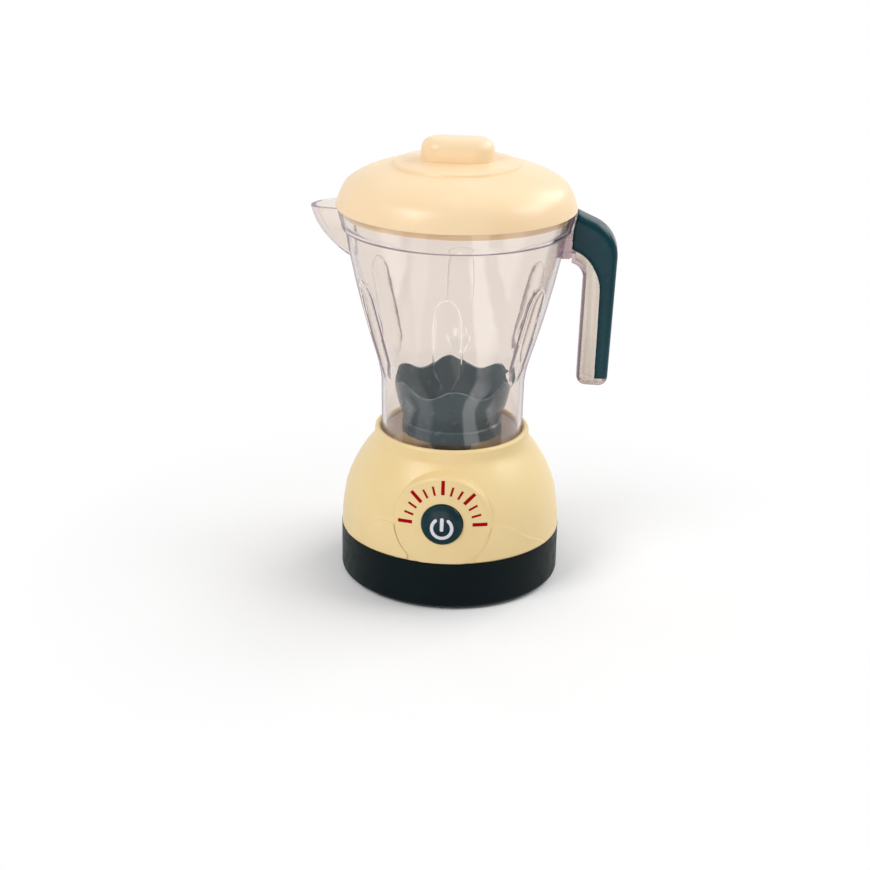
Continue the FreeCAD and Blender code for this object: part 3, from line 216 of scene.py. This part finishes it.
def clear(name, tint, lift, rough, streaks):
    """Clear moulded plastic: tinted walls with soft flow waves, with painted shade where they are seen
    edge-on.

    Light that stays caught inside a wall ends in a painted glow, a soft mauve emission, and not in black.
    """
    made = Shader(name)
    made.set(Transmission_Weight=1.0, IOR=1.45)
    lifted = tuple(min(1, part * lift) for part in tint[:3]) + (1,)
    made.colour(made.mix(made.spread(made.noise(**streaks), low=0, high=1), tint, lifted))
    made.rough(made.spread(made.noise(size=7, detail=3), low=rough, high=rough + 0.04))
    waves = made.noise(size=11, stretch=(1, 1, 0.5))
    ripples = made.noise(size=2.5)
    made.bumps((waves, 0.05), (ripples, 0.006), edge=0.5)

    absorb = made.node("ShaderNodeVolumeAbsorption")
    absorb.inputs["Color"].default_value = WALL_MAUVE
    absorb.inputs["Density"].default_value = WALL_DENSITY
    made.link(absorb.outputs["Volume"], made.output.inputs["Volume"])

    # Painted shade: walls seen edge-on turn partly into a tinted see-through layer
    facing = made.node("ShaderNodeLayerWeight").outputs["Facing"]
    edge_on = made.spread(facing, low=0, high=EDGE_SHADE_MOST, start=EDGE_SHADE_START, end=EDGE_SHADE_FULL)
    edge_shade = made.node("ShaderNodeBsdfTransparent")
    edge_shade.inputs["Color"].default_value = EDGE_ON_SHADE
    wall = made.blend(edge_on, made.surface.outputs[0], edge_shade.outputs[0])

    # Painted glow: a ray reflected more than once ends in a mauve emission
    reflections = made.node("ShaderNodeLightPath").outputs["Glossy Depth"]
    caught = made.compute("GREATER_THAN", reflections, CAUGHT_AFTER)
    mauve = made.node("ShaderNodeEmission")
    mauve.inputs["Color"].default_value = CAUGHT_LIGHT
    made.link(made.blend(caught, wall, mauve.outputs[0]), made.output.inputs["Surface"])
    return made.material


# The finishes of the toy's outside

SOFT_GLOW = {
    "Subsurface_Weight": 0.08,
    "Subsurface_Scale": 1.0,
    "Subsurface_Radius": (0.003, 0.0018, 0.0009),
}
lid_cream = moulded(
    "lid_cream", srgb(251, 224, 184), srgb(250, 219, 175),
    rough=0.33, edge=0, grain=0.0128, **SOFT_GLOW,
)
base_cream = moulded(
    "base_cream", srgb(243, 218, 162), srgb(240, 212, 154),
    rough=0.34, edge=0.7, grain=0.0128,
)
skirt_dark = moulded(
    "skirt_dark", srgb(12, 25, 28), srgb(9, 20, 23),
    rough=0.42, Specular_IOR_Level=0.08,
)
handle_teal = moulded(
    "handle_teal", srgb(6, 60, 70), srgb(4, 54, 64),
    rough=0.25, edge=3.2, grain=0.008, Specular_IOR_Level=0.2,
)
button_teal = moulded(
    "button_teal", srgb(8, 48, 54), srgb(6, 42, 48),
    rough=0.26, edge=0, grain=0.008, Specular_IOR_Level=0.2,
)
cup_smoke = moulded(
    "cup_smoke", srgb(34, 62, 73), srgb(28, 55, 66),
    rough=0.22, edge=0, grain=0.0048,
)
jug_clear = clear(
    "jug_clear", (0.925, 0.89, 0.83, 1), lift=1.02, rough=0.015,
    streaks={"size": 30, "detail": 2},
)
handle_clear = clear(
    "handle_clear", (0.7, 0.665, 0.61, 1), lift=1.35, rough=0.05,
    streaks={"size": 4, "detail": 2, "stretch": (1, 1, 0.04)},
)
# Painted highlight: the pale, faintly glowing lines along the flutes' creases
painted_highlight = moulded(
    "painted_highlight", srgb(250, 244, 236), srgb(244, 237, 228),
    rough=0.35, edge=0, grain=0.0064, Emission_Color=(1, 0.96, 0.91, 1), Emission_Strength=0.17,
)
red_print = moulded(
    "red_print", srgb(172, 0, 12), srgb(160, 0, 10),
    rough=0.55, edge=0, grain=0.0064, Specular_IOR_Level=0.05,
)
pale_print = moulded(
    "pale_print", srgb(232, 230, 238), srgb(222, 220, 230),
    rough=0.42, edge=0, grain=0.0064,
)

# The finishes of what lies inside and underneath

inner_dark = moulded("inner_dark", srgb(30, 46, 50), srgb(22, 36, 40), rough=0.45, edge=0.3)
inner_white = moulded("inner_white", srgb(232, 231, 224), srgb(222, 220, 210), rough=0.4, edge=0.25)
rubber = moulded("rubber", srgb(70, 74, 76), srgb(52, 55, 58), rough=0.75, edge=0.2, grain=0.048)
cell_blue = moulded("cell_blue", srgb(40, 84, 140), srgb(30, 68, 118), rough=0.3, edge=0.3)
steel = metal("steel", srgb(198, 200, 203), srgb(170, 172, 176), rough=0.3)
bronze = metal("bronze", srgb(190, 148, 92), srgb(158, 118, 70), rough=0.36)


# Smooth skins over the CAD nodes, which keep their exact places

WELD = 2e-6              # metres between points that are one point
TINY_EDGE = 1e-7         # metres

slot_of = {node: thing.data.materials[0].name.split(".")[0] for node, thing in nodes.items()}


def body_of(node):
    return [body for body, members in bodies.items() if node in members][0]


def surface_of(node):
    """A node's mesh as one closed skin."""
    mesh = bmesh.new()
    mesh.from_mesh(nodes[node].data)
    bmesh.ops.remove_doubles(mesh, verts=mesh.verts, dist=WELD)
    bmesh.ops.dissolve_degenerate(mesh, edges=mesh.edges, dist=TINY_EDGE)
    return mesh


def smooth(mesh, crease):
    """Rounds the shading over every edge that bends less than the crease angle."""
    for face in mesh.faces:
        face.smooth = True
    for edge in mesh.edges:
        faces = edge.link_faces
        edge.smooth = len(faces) == 2 and faces[0].normal.angle(faces[1].normal, 0) < math.radians(crease)


def add_piece(name, mesh, material, body):
    data = bpy.data.meshes.new(name)
    mesh.to_mesh(data)
    mesh.free()
    data.materials.append(material)
    piece = bpy.data.objects.new(name, data)
    scene.collection.objects.link(piece)
    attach(piece, body)
    return piece


def skin(node, material, crease):
    """A smooth-shaded skin in place of a node."""
    mesh = surface_of(node)
    for face in mesh.faces:
        face.material_index = 0
    mesh.normal_update()
    smooth(mesh, crease)
    piece = add_piece(node + "_skin", mesh, material, body_of(node))
    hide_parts(node)
    piece.visible_shadow = material not in (jug_clear, handle_clear)


finishes = {
    "cream_plastic": base_cream,
    "dark_plastic": inner_dark,
    "teal_plastic": handle_teal,
    "button_plastic": button_teal,
    "cup_plastic": cup_smoke,
    "clear_plastic": jug_clear,
    "white_plastic": inner_white,
    "soft_rubber": rubber,
    "cell_jacket": cell_blue,
    "steel": steel,
    "bronze": bronze,
}
for node, thing in nodes.items():
    for slot in thing.material_slots:
        slot.material = finishes[slot_of[node]]

# Each skin's finish and the crease angle up to which its shading is smooth
skins = {
    "base_housing": (base_cream, 30),
    "base_skirt": (skirt_dark, 40),
    "battery_cover": (skirt_dark, 30),
    "power_button": (button_teal, 30),
    "jar": (jug_clear, 32),
    "handle_frame": (handle_clear, 40),
    "handle_cover": (handle_teal, 40),
    "rotor_cup": (cup_smoke, 32),
    "lid": (lid_cream, 34),
    "lid_knob": (lid_cream, 40),
}
for node, (material, crease) in skins.items():
    skin(node, material, crease)


# Painted highlights: fine pale bars that glow faintly lie along the flutes' creases and stand in for the
# light that their rounded edges catch

FLUTE_LOW, FLUTE_HIGH = 136, 192
FLUTE_CREASE = 12
LINE_WIDTH, LINE_HEIGHT = 0.55, 0.12


def outward(edge):
    """The middle way between the normals of an edge's two faces, not yet of length 1."""
    return edge.link_faces[0].normal + edge.link_faces[1].normal


def is_flute_edge(edge):
    """True for a crease on the outside of the wall, at the height of the flutes."""
    if len(edge.link_faces) != 2 or edge.calc_face_angle(0) < math.radians(FLUTE_CREASE):
        return False
    middle = (edge.verts[0].co + edge.verts[1].co) / 2
    normal = outward(edge)
    faces_out = normal.x * middle.x + normal.y * middle.y > 0
    return faces_out and FLUTE_LOW < middle.z / MM < FLUTE_HIGH


def add_line(mesh, start, end, out):
    """A thin bar from start to end that stands out of the surface."""
    side = (end - start).cross(out).normalized() * LINE_WIDTH / 2 * MM
    rise = out * LINE_HEIGHT * MM
    section = (side - rise, side + rise / 2, rise, rise / 2 - side, -side - rise)
    first = [mesh.verts.new(start + offset) for offset in section]
    last = [mesh.verts.new(end + offset) for offset in section]
    for i in range(len(section)):
        mesh.faces.new((first[i], first[i - 1], last[i - 1], last[i]))
    mesh.faces.new(first)
    mesh.faces.new(reversed(last))


# Painted highlight: thin pale bars along every crease of the flutes
def add_flute_highlights():
    wall = surface_of("jar")
    wall.normal_update()
    lines = bmesh.new()
    for edge in wall.edges:
        if is_flute_edge(edge):
            add_line(lines, edge.verts[0].co, edge.verts[1].co, outward(edge).normalized())
    wall.free()
    bmesh.ops.recalc_face_normals(lines, faces=lines.faces)
    add_piece("flute_highlights", lines, painted_highlight, "jug")


add_flute_highlights()


# Print on the housing and the button, drawn across and up the button's face round its middle

FACE_TILT = math.radians(8)
FACE_MIDDLE = Vector((0, -58.1, 48.8)) * MM
FACE_ACROSS = Vector((1, 0, 0))
FACE_UP = Vector((0, math.sin(FACE_TILT), math.cos(FACE_TILT)))
FACE_OUT = Vector((0, -math.cos(FACE_TILT), math.sin(FACE_TILT)))
PROBE_START = 30 * MM    # how far ahead of the face the print is dropped from
PRINT_CREASE = 40


def strip(rows):
    """A flat sheet of quads through rows of points (x, y)."""
    mesh = bmesh.new()
    made = [[mesh.verts.new((x, y, 0)) for x, y in row] for row in rows]
    for low, high in zip(made, made[1:]):
        for i in range(len(low) - 1):
            mesh.faces.new((low[i], low[i + 1], high[i + 1], high[i]))
    return mesh


def laid_on(node, mesh, depth, thickness):
    """Lays a flat mesh on a node as thin print that starts at a small depth inside it."""
    surface = surface_of(node)
    tree = BVHTree.FromBMesh(surface)
    surface.free()
    for vertex in mesh.verts:
        across, up, _ = vertex.co
        ahead = FACE_MIDDLE + (FACE_ACROSS * across + FACE_UP * up) * MM + FACE_OUT * PROBE_START
        spot, _, _, _ = tree.ray_cast(ahead, -FACE_OUT)
        vertex.co = spot - FACE_OUT * depth * MM
    made = bmesh.ops.extrude_face_region(mesh, geom=list(mesh.faces))
    for vertex in [one for one in made["geom"] if isinstance(one, bmesh.types.BMVert)]:
        vertex.co += FACE_OUT * thickness * MM
    bmesh.ops.recalc_face_normals(mesh, faces=mesh.faces)
    smooth(mesh, PRINT_CREASE)
    return mesh


# The red scale over the button: short marks, and a long one at every third

TICK_COUNT = 13
TICKS_START, TICK_STEP = -90, 15
LONG_EVERY = 3
TICK_INNER = 15.9
LONG_OUTER, LONG_WIDTH = 23.6, 1.9
SHORT_OUTER, SHORT_WIDTH = 20.9, 1.2
TICK_PARTS = 8
TICK_ROW = (-0.5, -0.17, 0.17, 0.5)     # places across a mark, as shares of its width


def tick(angle, outer, width):
    """One printed mark that points away from the button."""
    away = Vector((math.sin(angle), math.cos(angle)))
    along = Vector((away.y, -away.x))
    rows = []
    for i in range(TICK_PARTS + 1):
        reach = TICK_INNER + (outer - TICK_INNER) * i / TICK_PARTS
        rows.append([tuple(away * reach + along * width * side) for side in TICK_ROW])
    return strip(rows)


for i in range(TICK_COUNT):
    angle = math.radians(TICKS_START + TICK_STEP * i)
    if i % LONG_EVERY == 0:
        mark = tick(angle, LONG_OUTER, LONG_WIDTH)
    else:
        mark = tick(angle, SHORT_OUTER, SHORT_WIDTH)
    add_piece(f"tick_{i:02d}", laid_on("base_housing", mark, depth=0.01, thickness=0.06), red_print, "base")


# The power symbol on the button: an open ring and a bar

RING_RADIUS, RING_WIDTH, RING_DROP = 5.3, 1.75, 1.85
RING_GAP = math.radians(30)             # half the opening at the top
BAR_LENGTH, BAR_WIDTH, BAR_LOW = 7.4, 1.9, -3.5
STROKE_PARTS = 40
CAP_PARTS = 6
STROKE_ROW = (-1, -0.4, 0.4, 1)         # places across a stroke, as shares of its half width


def stroke(path, length, width):
    """A stroke with round ends; path(distance) gives a point (x, y) and the heading across it."""
    half = width / 2
    cap = [half * (1 - math.cos(math.radians(90 / CAP_PARTS * i))) for i in range(1, CAP_PARTS + 1)]
    middle = [half + (length - width) * i / STROKE_PARTS for i in range(1, STROKE_PARTS)]
    rows = []
    for along in cap + middle + [length - reach for reach in reversed(cap)]:
        reach = min(along, length - along, half)
        wide = math.sqrt(max(half ** 2 - (half - reach) ** 2, 0))
        spot, across = path(along)
        rows.append([tuple(spot + across * wide * side) for side in STROKE_ROW])
    return strip(rows)


def round_ring(along):
    heading = RING_GAP + along / RING_RADIUS
    across = Vector((math.sin(heading), math.cos(heading)))
    return across * RING_RADIUS - Vector((0, RING_DROP)), across


def up_bar(along):
    return Vector((0, along + BAR_LOW)), Vector((1, 0))


ring = stroke(round_ring, (2 * math.pi - 2 * RING_GAP) * RING_RADIUS, RING_WIDTH)
bar = stroke(up_bar, BAR_LENGTH, BAR_WIDTH)
for name, mark in (("power_ring", ring), ("power_bar", bar)):
    add_piece(name, laid_on("power_button", mark, depth=0.02, thickness=0.12), pale_print, "button")


# The pale sheet that the toy stands on, in metres

FLOOR_SIZE = 3
FLOOR_PARTS = 4
FLOOR_HEIGHT = -0.0002
SHEET_LIGHT, SHEET_SHADE = grey(0.93), grey(0.9)
SHEET_BOUNCE = (0.62, 0.61, 0.6, 1)     # its colour for the light that it throws back on the toy
FADE_START, FADE_END = 0.075, 0.24      # from the toy's axis; past the end the sheet is plain white

# What gloss sees of the sheet ahead of the toy: bright cards (from x, to x, glow) on a dimmer floor
GLOSS_CARDS = ((-0.36, -0.25, 0.7), (-0.2, -0.13, 0.45), (0.105, 0.17, 0.8), (0.25, 0.36, 0.7))
GLOSS_FLOOR = 0.24
GLOSS_POWER = 3
GLOSS_REACH = 0.5
GLOSS_SOFT = 0.015
GLOSS_FAR, GLOSS_NEAR = -0.12, -0.06    # y at which the cards are full, and at which they begin


def gloss_cards(made, place):
    """The cards' glow across the sheet, as a shader."""
    across = made.spread(place.outputs["X"], low=0, high=1, start=-GLOSS_REACH, end=GLOSS_REACH)
    cards = made.node("ShaderNodeValToRGB")
    made.link(across, cards.inputs["Fac"])
    stops = cards.color_ramp.elements
    for end in (0, 1):
        stops[end].color = grey(GLOSS_FLOOR)
    for low, high, glow in GLOSS_CARDS:
        outline = (
            (low - GLOSS_SOFT, GLOSS_FLOOR),
            (low, glow),
            (high, glow),
            (high + GLOSS_SOFT, GLOSS_FLOOR),
        )
        for spot, level in outline:
            stops.new((spot + GLOSS_REACH) / (2 * GLOSS_REACH)).color = grey(level)
    card = made.node("ShaderNodeEmission")
    made.link(cards.outputs["Color"], card.inputs["Color"])
    card.inputs["Strength"].default_value = GLOSS_POWER
    return card.outputs[0]


def paper():
    """Keeps the toy's shadow and fades to white further off."""
    made = Shader("paper")
    made.set(Roughness=0.9, Specular_IOR_Level=0.1)
    sheet = made.mix(made.spread(made.noise(size=120), low=0, high=1), SHEET_LIGHT, SHEET_SHADE)
    shown = made.seen_by("Is Camera Ray", "Is Glossy Ray", "Is Transmission Ray")
    made.colour(made.mix(shown, SHEET_BOUNCE, sheet))

    distance = made.node("ShaderNodeVectorMath", operation="LENGTH")
    made.link(made.where, distance.inputs[0])
    far = made.spread(distance.outputs["Value"], low=0, high=1, start=FADE_START, end=FADE_END)
    white = made.node("ShaderNodeEmission")
    faded = made.compute("MULTIPLY", far, shown)
    lit = made.blend(faded, made.surface.outputs[0], white.outputs[0])

    place = made.node("ShaderNodeSeparateXYZ")
    made.link(made.where, place.inputs[0])
    ahead = made.spread(place.outputs["Y"], low=1, high=0, start=GLOSS_FAR, end=GLOSS_NEAR)
    in_gloss = made.compute("MULTIPLY", ahead, made.seen_by("Is Glossy Ray"))
    made.link(made.blend(in_gloss, lit, gloss_cards(made, place)), made.output.inputs["Surface"])
    return made.material


def add_floor():
    mesh = bmesh.new()
    bmesh.ops.create_grid(mesh, x_segments=FLOOR_PARTS, y_segments=FLOOR_PARTS, size=FLOOR_SIZE)
    data = bpy.data.meshes.new("floor")
    mesh.to_mesh(data)
    mesh.free()
    data.materials.append(paper())
    floor = bpy.data.objects.new("floor", data)
    floor.location.z = FLOOR_HEIGHT
    scene.collection.objects.link(floor)


add_floor()


# The sky, by the y of a direction, which is -1 straight ahead of the toy and 1 behind it

WHITE_START, WHITE_FULL = -0.1, 0.5     # where gloss begins to see the white background
DIM_SKY, LIT_SKY = 0.38, 0.6            # the light on the toy from ahead and from behind
DIM_UNTIL, LIT_FROM = -0.5, 0.5


def background(made):
    light = made.node("ShaderNodeBackground")
    light.inputs["Color"].default_value = grey(1)
    return light


def add_sky():
    """White behind the object, where the camera, glass and gloss see it, and dimmer in front."""
    world = bpy.data.worlds.new("studio")
    world.use_nodes = True
    world.node_tree.nodes.clear()
    scene.world = world
    made = NodeTree(world.node_tree)
    direction = made.node("ShaderNodeSeparateXYZ")
    made.link(made.node("ShaderNodeTexCoord").outputs["Generated"], direction.inputs[0])
    back = direction.outputs["Y"]

    behind = made.spread(back, low=0, high=1, start=WHITE_START, end=WHITE_FULL)
    in_gloss = made.compute("MULTIPLY", behind, made.seen_by("Is Glossy Ray"))
    shown = made.compute("MAXIMUM", made.seen_by("Is Camera Ray", "Is Transmission Ray"), in_gloss)

    glow, white = background(made), background(made)
    strength = made.spread(back, low=DIM_SKY, high=LIT_SKY, start=DIM_UNTIL, end=LIT_FROM)
    made.link(strength, glow.inputs["Strength"])
    sky = made.node("ShaderNodeOutputWorld")
    made.link(made.blend(shown, glow.outputs[0], white.outputs[0]), sky.inputs["Surface"])


add_sky()


# Lamps: where each hangs and the height on the toy's axis that it faces, in metres

LAMP_SHAPE = 0.8         # height over width
LAMPS = {
    "key": {"place": (-0.8, -0.85, 1.15), "aim": 0.12, "width": 0.7, "watts": 10.3},
    "right": {"place": (1.0, 0.05, 0.9), "aim": 0.14, "width": 0.7, "watts": 5.5},
    "front": {"place": (-0.15, -1.3, 0.1), "aim": 0.19, "width": 0.5, "watts": 2.5},
    "back": {"place": (0.85, 0.8, 0.9), "aim": 0.16, "width": 0.7, "watts": 5},
}


def add_lamp(name, place, aim, width, watts):
    data = bpy.data.lights.new(name, "AREA")
    data.shape = "RECTANGLE"
    data.size = width
    data.size_y = width * LAMP_SHAPE
    data.energy = watts
    lamp = bpy.data.objects.new(name, data)
    lamp.location = place
    way = Vector((0, 0, aim)) - Vector(place)
    lamp.rotation_euler = way.to_track_quat("-Z", "Y").to_euler()
    scene.collection.objects.link(lamp)


for name, values in LAMPS.items():
    add_lamp(name, **values)


# The camera, at the photograph's place and angle

PHOTO_PIXELS = 870                      # the photograph's width
FOCAL_PIXELS = 1709                     # the focal length, measured in its pixels
SENSOR_WIDTH = 36
CAMERA_PLACE = (0.061, -0.872, 0.4143)
CAMERA_TURN, CAMERA_TIP, CAMERA_ROLL = 4.6, 68.87, 1.04
NEAREST = 0.05


def rotation(angle, axis):
    return Matrix.Rotation(math.radians(angle), 4, axis)


camera_data = bpy.data.cameras.new("camera")
camera_data.sensor_width = SENSOR_WIDTH
camera_data.lens = FOCAL_PIXELS / PHOTO_PIXELS * SENSOR_WIDTH
camera_data.clip_start = NEAREST
camera = bpy.data.objects.new("camera", camera_data)
looking = rotation(CAMERA_TURN, "Z") @ rotation(CAMERA_TIP, "X") @ rotation(CAMERA_ROLL, "Z")
camera.matrix_world = Matrix.Translation(CAMERA_PLACE) @ looking
scene.collection.objects.link(camera)
scene.camera = camera
scene.view_settings.view_transform = "Standard"
